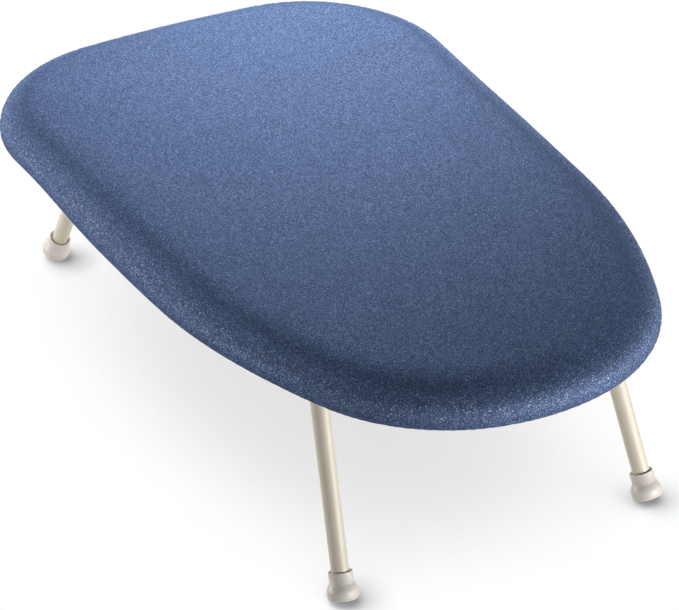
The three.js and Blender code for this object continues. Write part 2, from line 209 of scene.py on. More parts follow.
def grid_faces(rows, columns):
    """Quads of a grid that closes round its columns: each row joins the next, the last column the first."""
    r, k = np.meshgrid(np.arange(rows - 1), np.arange(columns), indexing="ij")
    k_next = (k + 1) % columns
    corners = [r * columns + k, (r + 1) * columns + k, (r + 1) * columns + k_next, r * columns + k_next]
    return np.stack([c.ravel() for c in corners], axis=1)


def smooth_step(value, start, end):
    """0 before start, 1 after end, and the cubic 3t^2 - 2t^3 between them."""
    t = np.clip((value - start) / (end - start), 0, 1)
    return t * t * (3 - 2 * t)


def waves(x, y, pitch, count, seed):
    """The mean of count sine waves over the plane, each with its own direction, phase and length."""
    rng = np.random.default_rng(seed)
    turns = rng.uniform(0, math.pi, count)
    phases = rng.uniform(0, math.tau, count)
    stretches = rng.uniform(0.7, 1.4, count)
    total = np.zeros(np.broadcast(x, y).shape)
    for turn, phase, stretch in zip(turns, phases, stretches):
        total += np.sin(math.tau * (x * math.cos(turn) + y * math.sin(turn)) / (pitch * stretch) + phase)
    return total / count


# Board outline and section

def outline_table():
    """The half outline as a fine table of distance, x, y, normal angle and curvature.

    An arc of radius r that turns its normal from a to b moves by r (cos b - cos a, sin b - sin a), and the
    side is straight. The nose corner's radius and the straight length make the arcs add up to the board's
    length and half width.
    """
    tip_turn, corner_turn = math.radians(NOSE_TIP_TURN), math.radians(NOSE_CORNER_TURN)
    side, tail_edge = math.pi / 2 - math.radians(SIDE_TAPER), math.pi - math.radians(TAIL_CROWN)

    def width(r, a, b):
        return r * (math.sin(b) - math.sin(a))

    def length(r, a, b):
        return r * (math.cos(a) - math.cos(b))

    half = BOARD_WIDTH / 2
    crown = (half - TAIL_CORNER_RADIUS * (1 - math.sin(tail_edge))) / math.sin(tail_edge)
    width_left = half - width(NOSE_TIP_RADIUS, 0, tip_turn) - width(SIDE_BOW_RADIUS, corner_turn, side)
    width_left -= TAIL_CORNER_RADIUS * (1 - math.sin(side))
    length_left = BOARD_LENGTH - length(NOSE_TIP_RADIUS, 0, tip_turn)
    length_left -= length(SIDE_BOW_RADIUS, corner_turn, side)
    length_left -= length(TAIL_CORNER_RADIUS, side, tail_edge) + length(crown, tail_edge, math.pi)
    unit_width, unit_length = width(1, tip_turn, corner_turn), length(1, tip_turn, corner_turn)
    along_x, along_y = math.sin(side), math.cos(side)
    corner = (width_left * along_x - length_left * along_y) / (unit_width * along_x - unit_length * along_y)
    straight = (length_left - corner * unit_length) / along_x
    rows = [[0.0, BOARD_LENGTH / 2, 0.0, 0.0, 1 / NOSE_TIP_RADIUS]]
    arcs = [
        (NOSE_TIP_RADIUS, 0, tip_turn),
        (corner, tip_turn, corner_turn),
        (SIDE_BOW_RADIUS, corner_turn, side),
        None,
        (TAIL_CORNER_RADIUS, side, tail_edge),
        (crown, tail_edge, math.pi),
    ]
    for piece in arcs:
        s, x, y, normal, _ = rows[-1]
        if piece is None:
            for share in np.linspace(0, 1, STRAIGHT_STEPS + 1)[1:]:
                walked = straight * share
                rows.append([s + walked, x - walked * along_x, y + walked * along_y, side, 0.0])
            continue
        r, a, b = piece
        for t in np.linspace(a, b, ARC_STEPS + 1)[1:]:
            moved_x, moved_y = r * (math.cos(t) - math.cos(a)), r * (math.sin(t) - math.sin(a))
            rows.append([s + r * (t - a), x + moved_x, y + moved_y, t, 1 / r])
    return np.array(rows).T


OUTLINE_TABLE = outline_table()


def outline(count):
    """count points evenly spaced round the board, anticlockwise from the nose tip.

    The rows are x, y, normal angle, distance and curvature.
    """
    s, x, y, normal, curve = OUTLINE_TABLE
    at = np.linspace(0, s[-1], count // 2 + 1)
    half = np.stack([np.interp(at, s, v) for v in (x, y, normal, s, curve)])
    other = half[:, -2:0:-1] * np.array([1, -1, -1, -1, 1])[:, None]
    return np.concatenate([half, other], axis=1)


def half_width_at(x):
    """The board's half width at a place along it."""
    table_x, table_y = OUTLINE_TABLE[1], OUTLINE_TABLE[2]
    return float(np.interp(-x, -table_x, table_y))


def shoulder_path(offset, steps):
    """The shoulder as [inset, height] points, moved inwards by offset.

    It is a quarter of a superellipse, |i / reach|^p + |h / drop|^p = 1.
    """
    t = np.linspace(math.pi / 2, 0, steps)
    power = 2 / SHOULDER_POWER
    inset = SHOULDER_REACH * (1 - np.cos(t) ** power)
    height = WIDEST_HEIGHT + SHOULDER_DROP * np.sin(t) ** power
    return offset_path(np.stack([inset, height], axis=1), offset)


def path_normals(path):
    """The outward side of an [inset, height] path that runs outwards and down: (dh, -di) made unit."""
    step = np.gradient(path, axis=0)
    normal = np.stack([step[:, 1], -step[:, 0]], axis=1)
    return normal / np.linalg.norm(normal, axis=1, keepdims=True)


def offset_path(path, offset):
    """The path moved inwards, each point by offset against its normal."""
    return path - offset * path_normals(path)


def path_lengths(path):
    """The distance walked along the path at each of its points."""
    return np.concatenate([[0], np.cumsum(np.linalg.norm(np.diff(path, axis=0), axis=1))])


def even_path(path, steps):
    """The same path with its points evenly spaced."""
    lengths = path_lengths(path)
    at = np.linspace(0, lengths[-1], steps)
    return np.stack([np.interp(at, lengths, path[:, axis]) for axis in (0, 1)], axis=1)


def shell_round_board(
    name, path, thickness, around, top_rows, inner_rows, edge_rows, lift=None, crease=40.0
):
    """A closed sheet or slab over the board: a section carried round the outline.

    Outside, each point is the outline point less inset times its normal, at the path's height, moved along
    the section's normal by lift(distance, curvature, x, y, walked). Inwards the rings shrink in straight
    lines to a spine on the middle line, which closes the top. The inside repeats fewer of the same rows,
    thickness further in, and a half circle joins them.
    """
    x, y, turn, s, curve = outline(around)
    across, along = np.cos(turn), np.sin(turn)
    normals = path_normals(path)
    walked = path_lengths(path)
    spine_x = np.clip(x, SPINE_TAIL, SPINE_NOSE)

    def place(insets, heights, tilt, walk, moved):
        inset = insets[:, None] + np.zeros_like(x)
        px, py = x - inset * across, y - inset * along
        d = lift(s, curve, px, py, walk[:, None]) if lift is not None else np.zeros_like(px)
        inset = inset + d * tilt[:, :1] - moved * tilt[:, :1]
        z = heights[:, None] + d * tilt[:, 1:] - moved * tilt[:, 1:]
        return np.stack([x - inset * across, y - inset * along, z], axis=2)

    def top(rows, moved):
        share = np.linspace(1, 0, rows + 1)[:-1, None] ** RING_POWER
        rim = np.array([x - path[0, 0] * across, y - path[0, 0] * along])
        px, py = rim[0] * (1 - share) + spine_x * share, rim[1] * (1 - share)
        d = lift(s, curve, px, py, np.zeros((rows, 1))) if lift is not None else np.zeros_like(px)
        return np.stack([px, py, path[0, 1] + d - moved], axis=2)

    outside = place(path[:, 0], path[:, 1], normals, walked, 0.0)
    keep = np.unique(np.linspace(0, len(path) - 1, inner_rows).round().astype(int))[::-1]
    inside = place(path[keep, 0], path[keep, 1], normals[keep], walked[keep], thickness)
    last_step = path[-1:] - path[-2:-1]
    tangent = last_step / np.linalg.norm(last_step)
    edge = []
    for share in np.linspace(0, 1, edge_rows + 2)[1:-1]:
        a = math.pi * share
        centre = path[-1:] - thickness / 2 * normals[-1:]
        point = centre + thickness / 2 * (math.cos(a) * normals[-1:] + math.sin(a) * tangent)
        edge.append(place(point[:, 0], point[:, 1], normals[-1:], walked[-1:], 0.0))
    inner_top = top(max(2, top_rows // 3), thickness)[::-1]
    grid = np.concatenate([top(top_rows, 0.0), outside, *edge, inside, inner_top])
    edge_reach = np.full(len(edge), walked[-1])
    reach = np.concatenate([np.zeros(top_rows), walked, edge_reach, walked[keep], np.zeros(len(inner_top))])
    rim = np.stack([x - path[0, 0] * across, y - path[0, 0] * along], axis=1)
    cut = rim[None] + reach[:, None, None] * np.stack([across, along], axis=1)[None]
    flat_rows = np.r_[0:top_rows, len(grid) - len(inner_top):len(grid)]
    cut[flat_rows] = grid[flat_rows, :, :2]
    return new_object(name, grid, grid_faces(len(grid), around), uv=cut, crease=crease)


# Swept and turned pieces

def turned_grid(profile, sides):
    """A profile of [radius, height] points turned about the Z axis, as rows of a grid."""
    angle = np.arange(sides) * math.tau / sides
    radius, height = profile[:, :1], profile[:, 1:]
    return np.stack([radius * np.cos(angle), radius * np.sin(angle), height + np.zeros(sides)], axis=2)


def leg_place(points, end):
    """Points of a leg frame with its crossbar along Y and its legs down, turned by the splay at the pivot."""
    angle = -end["outward"] * end["splay"]
    x = points[..., 0] * math.cos(angle) + points[..., 2] * math.sin(angle)
    z = -points[..., 0] * math.sin(angle) + points[..., 2] * math.cos(angle)
    return np.stack([x + end["pivot"], points[..., 1], z + PIVOT_HEIGHT], axis=-1)


def cap_profile():
    """The cap from its base centre over bell and collar into the socket, as [radius, height] points."""
    bell_top = CAP_LENGTH - CAP_COLLAR_LENGTH - CAP_SHOULDER_LENGTH
    bell_low = bell_top - CAP_BELL_LENGTH
    t = np.linspace(0, math.pi / 2, 12)
    swell = (CAP_BELL_RADIUS - CAP_BASE_RADIUS) * np.sin(t)
    low = np.stack([CAP_BASE_RADIUS + swell, bell_low * (1 - np.cos(t))], axis=1)
    share = np.linspace(0, 1, 14)
    spread = (CAP_BELL_RADIUS - CAP_COLLAR_RADIUS) * np.cos(math.pi / 2 * share)
    up = np.stack([CAP_COLLAR_RADIUS + spread, bell_top + CAP_SHOULDER_LENGTH * share], axis=1)
    socket = TUBE_RADIUS + SOCKET_CLEARANCE
    rim = [
        [
            CAP_COLLAR_RADIUS - CAP_RIM_RADIUS * (1 - math.cos(a)),
            CAP_LENGTH - CAP_RIM_RADIUS * (1 - math.sin(a)),
        ]
        for a in np.linspace(0, math.pi / 2, 5)
    ]
    mouth = socket + CAP_MOUTH_WIDTH
    lip = [
        [mouth + CAP_LIP_EASE, CAP_LENGTH],
        [mouth, CAP_LENGTH - CAP_LIP_EASE],
        [socket, CAP_LENGTH - CAP_MOUTH_DEPTH],
    ]
    floor = [[socket, CAP_LENGTH - SOCKET_DEPTH], [0, CAP_LENGTH - SOCKET_DEPTH]]
    return np.array([[0, 0], *low.tolist(), *up.tolist(), *rim, *lip, *floor])


CAP_PROFILE = cap_profile()


def base_reach(end):
    """How far down a leg the cap's base centre lies, for the leaning cap to meet the floor."""
    up = math.cos(end["splay"]) * math.cos(LEG_FLARE)
    across = math.sqrt(1 - up * up)
    lowest = (CAP_PROFILE[:, 0] * across - CAP_PROFILE[:, 1] * up).max()
    return (PIVOT_HEIGHT + FOOT_FLAT_DEPTH - lowest) / up


def leg_frame(name, end, corner):
    """One bent tube: a circle carried along both legs and the crossbar, its wall turned in at the ends."""
    reach = base_reach(end) - (CAP_LENGTH - SOCKET_DEPTH) - SOCKET_CLEARANCE
    setback = BEND_RADIUS * math.tan((math.pi / 2 - LEG_FLARE) / 2)
    bend_start = corner - setback
    a = np.linspace(0, math.pi / 2 - LEG_FLARE, BEND_STEPS + 1)
    bend = np.stack([bend_start + BEND_RADIUS * np.sin(a), BEND_RADIUS * (np.cos(a) - 1), a], axis=1)
    bar = np.zeros((BAR_STEPS, 3))
    bar[:, 0] = np.linspace(0, bend_start, BAR_STEPS + 1)[:-1]
    foot = np.array([corner + reach * math.sin(LEG_FLARE), -reach * math.cos(LEG_FLARE)])
    share = np.linspace(0, 1, LEG_STEPS + 1)[1:, None]
    straight = bend[-1, :2] * (1 - share) + foot * share
    leg = np.concatenate([straight, np.full((LEG_STEPS, 1), a[-1])], axis=1)
    half = np.concatenate([bar, bend, leg])
    mirrored = half[:0:-1] * np.array([-1, 1, -1])
    line = np.concatenate([mirrored, half])
    inner = TUBE_RADIUS - TUBE_WALL
    back = np.array([-math.sin(LEG_FLARE), math.cos(LEG_FLARE), 0]) * BORE_SHOWN
    deep_start, deep_end = line[0] + back * np.array([-1, 1, 1]), line[-1] + back
    line = np.concatenate([[deep_start, deep_start, line[0]], line, [line[-1], deep_end, deep_end]])
    radius = np.concatenate([[0, inner, inner], np.full(len(line) - 6, TUBE_RADIUS), [inner, inner, 0]])
    angle = np.arange(TUBE_SIDES) * math.tau / TUBE_SIDES
    side = np.stack([np.zeros(len(line)), np.sin(line[:, 2]), np.cos(line[:, 2])], axis=1)
    lengthwise = np.array([1.0, 0, 0])
    ring = np.cos(angle)[None, :, None] * side[:, None] + np.sin(angle)[None, :, None] * lengthwise
    centre = np.stack([np.zeros(len(line)), line[:, 0], line[:, 1]], axis=1)
    grid = leg_place(centre[:, None] + radius[:, None, None] * ring, end)
    return new_object(name, grid, grid_faces(len(grid), TUBE_SIDES)[:, ::-1])


def foot_cap(name, end, corner, sign):
    """A cap turned about the leg's axis, leaned with the leg, and flat where it would pass the floor."""
    grid = turned_grid(CAP_PROFILE, CAP_SIDES)
    lean = sign * LEG_FLARE
    z = grid[..., 2] - base_reach(end)
    y = grid[..., 1] * math.cos(lean) - z * math.sin(lean)
    z = grid[..., 1] * math.sin(lean) + z * math.cos(lean)
    grid = leg_place(np.stack([grid[..., 0], y + sign * corner, z], axis=-1), end)
    grid[..., 2] = np.maximum(grid[..., 2], 0)
    return new_object(name, grid, grid_faces(len(grid), CAP_SIDES)[:, ::-1], crease=50)


def rivet(name, node):
    """A rivet from its domed head below to its set head above, turned about the CAD rivet's upright axis."""
    low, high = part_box(node)
    centre = (low + high) / 2
    head = (high.x - low.x) / 2
    t = np.linspace(0, math.pi / 2, 8)
    under = np.stack([head * np.sin(t), RIVET_DOME * (1 - np.cos(t))], axis=1)
    tall = high.z - low.z
    set_height = RIVET_DOME * SET_HEAD_SHARE
    set_foot = tall - RIVET_DOME
    top = [
        [RIVET_SHANK_RADIUS, RIVET_DOME],
        [RIVET_SHANK_RADIUS, set_foot],
        [head * SET_HEAD_NECK_SHARE, set_foot],
        [head, tall - set_height],
    ]
    a = np.linspace(SET_HEAD_START, math.pi / 2, 6)
    over = np.stack([head * np.cos(a), tall - set_height + set_height * np.sin(a)], axis=1)
    over[-1, 0] = 0
    grid = turned_grid(np.concatenate([under, top, over]), RIVET_SIDES)
    grid += np.array([centre.x, centre.y, low.z])
    return new_object(name, grid, grid_faces(len(grid), RIVET_SIDES)[:, ::-1], crease=35)


# Materials

class Finish:
    """A Principled material and short calls that add and join its nodes."""

    def __init__(self, name, color, roughness, **sockets):
        self.material = bpy.data.materials.new(name)
        self.material.use_nodes = True
        self.tree = self.material.node_tree
        self.shader = self.tree.nodes["Principled BSDF"]
        self.shader.inputs["Base Color"].default_value = (*color, 1)
        self.shader.inputs["Roughness"].default_value = roughness
        for socket, value in sockets.items():
            self.shader.inputs[socket.replace("_", " ")].default_value = value
        self.place = self.add("ShaderNodeTexCoord").outputs["Object"]

    def add(self, kind, **settings):
        node = self.tree.nodes.new(kind)
        for key, value in settings.items():
            setattr(node, key, value)
        return node

    def feed(self, node, **inputs):
        """Sets or links a node's inputs, each by its name, or by its number as i0, i1 and so on."""
        for key, value in inputs.items():
            numbered = key[0] == "i" and key[1:].isdigit()
            socket = node.inputs[int(key[1:]) if numbered else key.replace("_", " ")]
            if isinstance(value, bpy.types.NodeSocket):
                self.tree.links.new(value, socket)
            else:
                socket.default_value = value
        return node

    def noise(self, scale, detail=2.0, roughness=0.5):
        node = self.feed(self.add("ShaderNodeTexNoise"), Vector=self.place, Scale=scale, Detail=detail)
        node.inputs["Roughness"].default_value = roughness
        return node.outputs["Fac"]

    def cells(self, scale):
        """Two random numbers for each cell of a pattern of small cells."""
        cell = self.feed(self.add("ShaderNodeTexVoronoi"), Vector=self.place, Scale=scale)
        parts = self.feed(self.add("ShaderNodeSeparateColor"), Color=cell.outputs["Color"])
        return parts.outputs[0], parts.outputs[1]

    def math(self, operation, a, b=0.0):
        return self.feed(self.add("ShaderNodeMath", operation=operation), i0=a, i1=b).outputs[0]

    def product(self, *values):
        total = values[0]
        for value in values[1:]:
            total = self.math("MULTIPLY", total, value)
        return total

    def spread(self, value, low, high, to_low=0.0, to_high=1.0):
        node = self.feed(self.add("ShaderNodeMapRange"), Value=value, From_Min=low, From_Max=high)
        return self.feed(node, To_Min=to_low, To_Max=to_high).outputs["Result"]

    def band(self, value, rise, fall):
        """0 below rise, 1 between rise and fall, and 0 above fall."""
        return self.product(self.spread(value, *rise), self.spread(value, *fall, 1.0, 0.0))

    def blend(self, share, a, b, kind="MIX"):
        node = self.add("ShaderNodeMix", data_type="RGBA", blend_type=kind)
        for index, value in ((0, share), (6, a), (7, b)):
            value = (*value, 1) if isinstance(value, tuple) and len(value) == 3 else value
            self.feed(node, **{f"i{index}": value})
        return node.outputs[2]

    def bump(self, height, distance, strength):
        node = self.feed(self.add("ShaderNodeBump"), Height=height, Distance=distance, Strength=strength)
        return node.outputs["Normal"]

    def set(self, **inputs):
        self.feed(self.shader, **inputs)
        return self.material


def cover_cloth():
    """Steel-blue cloth with a metallised face: a fine grain of dark and light threads, with bright flakes.

    Each fine cell is one thread crossing, and its random numbers give its tone and its tilt. Those of a
    coarser set of cells say whether a cell is a bright flake and how strongly the flake gleams. The flakes
    are partly the cloth's own light specks and partly painted glints: they are denser on the rolled edge,
    denser and brighter still in the highlight band, and a little denser towards the nose. A painted
    highlight, a lighter blue, runs in a band along the shoulder, and a painted shade, a darker blue, in a
    band just inside it.
    """
    f = Finish("metallised cloth", CLOTH_BLUE, 0.5, Metallic=0.1, Specular_IOR_Level=0.0)
    light, tilt = f.cells(2600)
    spark, gleam = f.cells(1850)
    weave = f.noise(2200, 1.0, 0.5)
    mottle = f.noise(330, 3.0, 0.65)
    cloud = f.noise(24, 3.0, 0.6)
    shade = f.product(
        f.spread(f.math("POWER", light, 4.0), 0.0, 1.0, 0.55, 2.8),
        f.spread(mottle, 0.3, 0.7, 0.96, 1.04),
        f.spread(cloud, 0.3, 0.7, 0.97, 1.03),
    )
    grey = f.feed(f.add("ShaderNodeCombineColor"), Red=shade, Green=shade, Blue=shade)
    color = f.blend(1.0, CLOTH_BLUE, grey.outputs[0], "MULTIPLY")
    axes = f.feed(f.add("ShaderNodeSeparateXYZ"), Vector=f.place)
    along, up = axes.outputs[0], axes.outputs[2]
    edge = f.spread(up, *SKIRT_FADE, 1.0, 0.0)
    ridge_highlight = f.band(up, RIDGE_IN, RIDGE_OUT)
    trough_shade = f.band(up, TROUGH_IN, TROUGH_OUT)
    # Painted highlight: a lighter blue laid in a band along the shoulder.
    color = f.blend(f.spread(ridge_highlight, 0.0, 1.0, 0.0, 0.17), color, RIDGE_HIGHLIGHT_BLUE)
    # Painted shade: a darker blue laid in a band just inside the highlight band, towards the top.
    color = f.blend(f.spread(trough_shade, 0.0, 1.0, 0.0, 0.20), color, TROUGH_SHADE_BLUE)
    # Painted glints: flakes grow denser on the rolled edge and densest in the highlight band, where lamps
    # would make the cloth glint; the cloth is not more stretched there.
    stretch = f.spread(f.math("ADD", f.math("MULTIPLY", edge, 0.4), ridge_highlight), 0.0, 1.4, 0.0, 0.15)
    start = f.math("SUBTRACT", f.spread(along, -0.10, 0.20, 0.985, 0.965), stretch)
    fleck = f.math("GREATER_THAN", spark, start)
    # Painted glints: flakes are made brighter in the highlight band.
    strength = f.product(
        fleck,
        f.spread(f.math("POWER", gleam, 2.5), 0.0, 1.0, 0.15, 1.0),
        f.spread(ridge_highlight, 0.0, 1.0, 0.55, 1.0),
    )
    color = f.blend(strength, color, FLAKE_GLINT_BLUE)
    height = f.math("ADD", f.math("MULTIPLY", tilt, 0.6), f.math("MULTIPLY", weave, 0.6))
    return f.set(
        Base_Color=color,
        Roughness=f.spread(fleck, 0.0, 1.0, 0.5, 0.35),
        Normal=f.bump(height, 0.00025, 0.6),
    )


def enamel(name, color, roughness, peel, cast):
    """Powder coat: orange peel about a millimetre across, a slow drift of tone, and a slightly shiny skin.

    peel is the strength of the orange peel, and cast is how far the tone drifts to each side, as a share.
    """
    f = Finish(name, color, roughness, Coat_Weight=0.12, Coat_Roughness=0.25, Specular_IOR_Level=0.45)
    drift = f.noise(35, 3.0, 0.55)
    speck = f.noise(1900, 1.0)
    darker = tuple(c * (1 - cast) for c in color)
    lighter = tuple(min(1, c * (1 + cast)) for c in color)
    tone = f.blend(f.spread(drift, 0.3, 0.7), darker, lighter)
    peel_height = f.noise(850, 2.0, 0.4)
    return f.set(
        Base_Color=tone,
        Roughness=f.spread(speck, 0.3, 0.7, roughness - 0.05, roughness + 0.07),
        Normal=f.bump(peel_height, 0.0003, peel),
    )


def cap_plastic():
    """Soft off-white plastic: a faint moulding texture, cloudy tone and slight rubbing."""
    f = Finish("soft plastic", (0.80, 0.745, 0.69), 0.4, Specular_IOR_Level=0.5)
    cloud = f.noise(110, 3.0, 0.6)
    grit = f.noise(2600, 2.0, 0.6)
    tone = f.blend(f.spread(cloud, 0.3, 0.7), (0.78, 0.72, 0.665), (0.82, 0.765, 0.715))
    return f.set(
        Base_Color=tone,
        Roughness=f.spread(grit, 0.3, 0.7, 0.30, 0.42),
        Normal=f.bump(grit, 0.00012, 0.10),
    )


def plated_steel():
    """Zinc-plated steel with fine draw lines."""
    f = Finish("plated steel", (0.6, 0.61, 0.62), 0.35, Metallic=1.0)
    lines = f.noise(900, 4.0, 0.7)
    cloud = f.noise(160, 2.0)
    return f.set(
        Base_Color=f.blend(f.spread(cloud, 0.3, 0.7), (0.52, 0.53, 0.55), (0.66, 0.67, 0.68)),
        Roughness=f.spread(lines, 0.3, 0.7, 0.26, 0.46),
        Normal=f.bump(lines, 0.00008, 0.4),
    )


def needled_felt():
    """Off-white felt: matted fibres a few millimetres long."""
    f = Finish("needled felt", (0.78, 0.75, 0.69), 0.95, Sheen_Weight=0.3, Sheen_Roughness=0.6)
    mat = f.noise(380, 6.0, 0.75)
    return f.set(
        Base_Color=f.blend(f.spread(mat, 0.3, 0.7), (0.66, 0.63, 0.57), (0.84, 0.82, 0.77)),
        Normal=f.bump(mat, 0.0008, 0.6),
    )


def elastic_braid():
    """White elastic braid: fine ribs across the band."""
    f = Finish("elastic braid", (0.72, 0.72, 0.71), 0.85, Sheen_Weight=0.2)
    ribs = f.noise(1500, 1.0)
    return f.set(
        Base_Color=f.blend(f.spread(ribs, 0.35, 0.65), (0.62, 0.62, 0.61), (0.8, 0.8, 0.79)),
        Normal=f.bump(ribs, 0.0003, 0.5),
    )


def dress(obj, material):
    obj.data.materials.clear()
    obj.data.materials.append(material)


cloth = cover_cloth()
cream = enamel("cream powder coat", (0.76, 0.69, 0.56), roughness=0.36, peel=0.05, cast=0.03)
deck_coat = enamel("pale powder coat", (0.74, 0.71, 0.64), roughness=0.42, peel=0.08, cast=0.04)
plastic = cap_plastic()
zinc = plated_steel()
felt = needled_felt()
braid = elastic_braid()


# Pieces of the board

def cloth_lift(s, curve, x, y, walked):
    """How far the cloth stands off its plain section.

    Slow waves everywhere follow the felt. Gathers rise towards the hem where the outline bends, as sines of
    the distance round the board whose pitch wanders. Each one starts at its own height on the shoulder, ebbs
    at the widest line and rises again at the hem. The sides droop a little near their middle, and a soft roll
    with a dip inside it runs along the shoulder.
    """
    felt = FELT_SWELL_HEIGHT * waves(x, y, **FELT_SWELL) + FELT_RIPPLE_HEIGHT * waves(x, y, **FELT_RIPPLE)
    wander = 2.6 * np.sin(math.tau * s / 0.071 + 0.4) + 1.7 * np.sin(math.tau * s / 0.043 + 2.0)
    phase = math.tau * s / GATHER_PITCH + wander
    crease = np.abs(np.cos(phase / 2 + 0.8)) ** 7
    fold = 0.5 * np.sin(phase) - 1.5 * crease + 0.3 * np.sin(0.47 * phase + 2.2)
    strength = 0.65 + 0.35 * np.sin(math.tau * s / 0.057 + 1.3) * np.sin(math.tau * s / 0.093)
    start = GATHER_START + GATHER_START_WANDER * np.sin(0.53 * phase + 0.7)
    rise = 0.36 * smooth_step(walked, start, start + GATHER_RUN)
    rise = rise - 0.22 * smooth_step(walked, *GATHER_EBB_BAND) + 0.5 * smooth_step(walked, *GATHER_HEM_BAND)
    bent = np.clip(curve * BEND_REACH, 0, 1) ** 0.8
    gathers = GATHER_HEIGHT * fold * strength * rise * (0.12 + 0.88 * bent)
    slack = smooth_step(x, *SLACK_TAIL_BAND) * (1 - smooth_step(x, *SLACK_NOSE_BAND))
    droop = smooth_step(walked, *DROOP_IN_BAND) * (1 - smooth_step(walked, *DROOP_OUT_BAND))
    roll = ROLL_HEIGHT * np.exp(-(((walked - ROLL_PLACE) / ROLL_WIDTH) ** 2))
    dip = DIP_DEPTH * np.exp(-(((walked - DIP_PLACE) / ROLL_WIDTH) ** 2))
    return felt + SLACK_DROOP * slack * droop + roll - dip + gathers


def cover_path():
    """The cover's section: shoulder, tuck, flat turn-under, and the hem that folds back round the elastic."""
    shoulder = shoulder_path(0.0, 400)
    t = np.linspace(0, math.pi / 2, 60)[1:]
    tuck = np.stack([TUCK_REACH * (1 - np.cos(t)), WIDEST_HEIGHT - TUCK_DROP * np.sin(t)], axis=1)
    fold = HEM_HEIGHT / 2
    a = np.linspace(-math.pi / 2, math.pi / 2, 40)
    turn = np.stack([HEM_REACH - fold + fold * np.cos(a), SKIRT_BOTTOM + fold + fold * np.sin(a)], axis=1)
    lip = np.array([[HEM_TOP_INSET, SKIRT_BOTTOM + HEM_HEIGHT]])
    return np.concatenate([shoulder, tuck, turn, lip])


def cover_steps():
    """The section with points close together on the shoulder and at the hem."""
    path = cover_path()
    fine = even_path(path, 2000)
    lengths = path_lengths(fine)
    shoulder_end = lengths[np.argmin(np.abs(fine[:, 0]))]
    at = np.concatenate([
        np.linspace(0, shoulder_end, 24)[:-1],
        np.linspace(shoulder_end, lengths[-1], 27),
    ])
    return np.stack([np.interp(at, lengths, fine[:, 0]), np.interp(at, lengths, fine[:, 1])], axis=1)


cover = shell_round_board(
    "cover_cloth",
    cover_steps(),
    CLOTH_THICKNESS,
    around=1200,
    top_rows=12,
    inner_rows=18,
    edge_rows=1,
    lift=cloth_lift,
    crease=80,
)
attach(cover, "board")
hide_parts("cover")
dress(cover, cloth)

pad = shell_round_board(
    "felt_pad",
    even_path(shoulder_path(PAD_OFFSET, 200), 16),
    PAD_THICKNESS,
    around=300,
    top_rows=8,
    inner_rows=16,
    edge_rows=5,
    crease=60,
)
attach(pad, "board")
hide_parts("pad")
dress(pad, felt)


def depth_inside(x, y):
    """How far a place of the board lies inside its outline."""
    edge_x, edge_y = outline(OUTLINE_SAMPLES)[:2]
    return float(np.hypot(edge_x - x, edge_y - y).min())


def vent_places():
    """A triangular pattern of vents that keeps off the rolled edge and off the channels."""
    row_pitch = VENT_PITCH * math.sin(math.pi / 3)
    keep_out = CHANNEL_HALF_WIDTH + VENT_RADIUS + VENT_MARGIN
    edge = SHOULDER_REACH + VENT_RADIUS + VENT_MARGIN
    places = []
    for row in range(-VENT_ROWS, VENT_ROWS + 1):
        for column in range(-VENT_COLUMNS, VENT_COLUMNS + 1):
            x, y = (column + (0.5 if row % 2 else 0)) * VENT_PITCH, row * row_pitch
            clear = all(abs(x - end["pivot"]) > keep_out for end in LEG_ENDS.values())
            if clear and abs(y) < BOARD_WIDTH / 2 and depth_inside(x, y) > edge:
                places.append((x, y))
    return places


def pierce(pan):
    """Cuts a round vent into the pan at each place, with upright cylinders in one mesh."""
    height = TOP_HEIGHT - DECK_OFFSET
    drill = [
        [0, -DRILL_HALF_LENGTH],
        [VENT_RADIUS, -DRILL_HALF_LENGTH],
        [VENT_RADIUS, DRILL_HALF_LENGTH],
        [0, DRILL_HALF_LENGTH],
    ]
    one = turned_grid(np.array(drill), VENT_SIDES)
    drills = np.concatenate([one + np.array([x, y, height]) for x, y in vent_places()])
    count = len(drills) // len(one)
    single = grid_faces(len(one), VENT_SIDES)[:, ::-1]
    faces = np.concatenate([single + k * one.shape[0] * one.shape[1] for k in range(count)])
    cutter = new_object("vent_drills", drills, faces)
    hole = pan.modifiers.new("vents", "BOOLEAN")
    hole.operation, hole.solver, hole.object = "DIFFERENCE", "EXACT", cutter
    evaluated = pan.evaluated_get(bpy.context.evaluated_depsgraph_get())
    mesh = bpy.data.meshes.new_from_object(evaluated)
    pan.modifiers.clear()
    pan.data = mesh
    bpy.data.objects.remove(cutter)
    mesh.set_sharp_from_angle(angle=math.radians(35))


def eased_copy(name, node, width):
    """A merged copy of a CAD piece, its flat faces joined up and its edges eased by a small round."""
    work = bmesh.new()
    work.from_mesh(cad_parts[node].data)
    bmesh.ops.remove_doubles(work, verts=work.verts, dist=MERGE_DISTANCE)
    bmesh.ops.dissolve_limit(work, angle_limit=math.radians(1), verts=work.verts, edges=work.edges)
    mesh = bpy.data.meshes.new(name)
    work.to_mesh(mesh)
    work.free()
    mesh.polygons.foreach_set("use_smooth", np.ones(len(mesh.polygons), bool))
    mesh.set_sharp_from_angle(angle=math.radians(50))
    obj = bpy.data.objects.new(name, mesh)
    bpy.context.scene.collection.objects.link(obj)
    round_over = obj.modifiers.new("eased edges", "BEVEL")
    round_over.width, round_over.segments = width, 2
    round_over.limit_method, round_over.angle_limit = "ANGLE", math.radians(35)
    round_over.harden_normals = True
    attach(obj, "board")
    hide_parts(node)
    dress(obj, deck_coat)
    return obj


flange = [[DECK_OFFSET, WIDEST_HEIGHT], [DECK_OFFSET, FLANGE_BOTTOM]]
deck_pan = shell_round_board(
    "deck_pan",
    np.concatenate([shoulder_path(DECK_OFFSET, 200)[::8], flange]),
    DECK_THICKNESS,
    around=480,
    top_rows=6,
    inner_rows=20,
    edge_rows=1,
    crease=35,
)
pierce(deck_pan)
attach(deck_pan, "board")
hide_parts("deck")
dress(deck_pan, deck_coat)


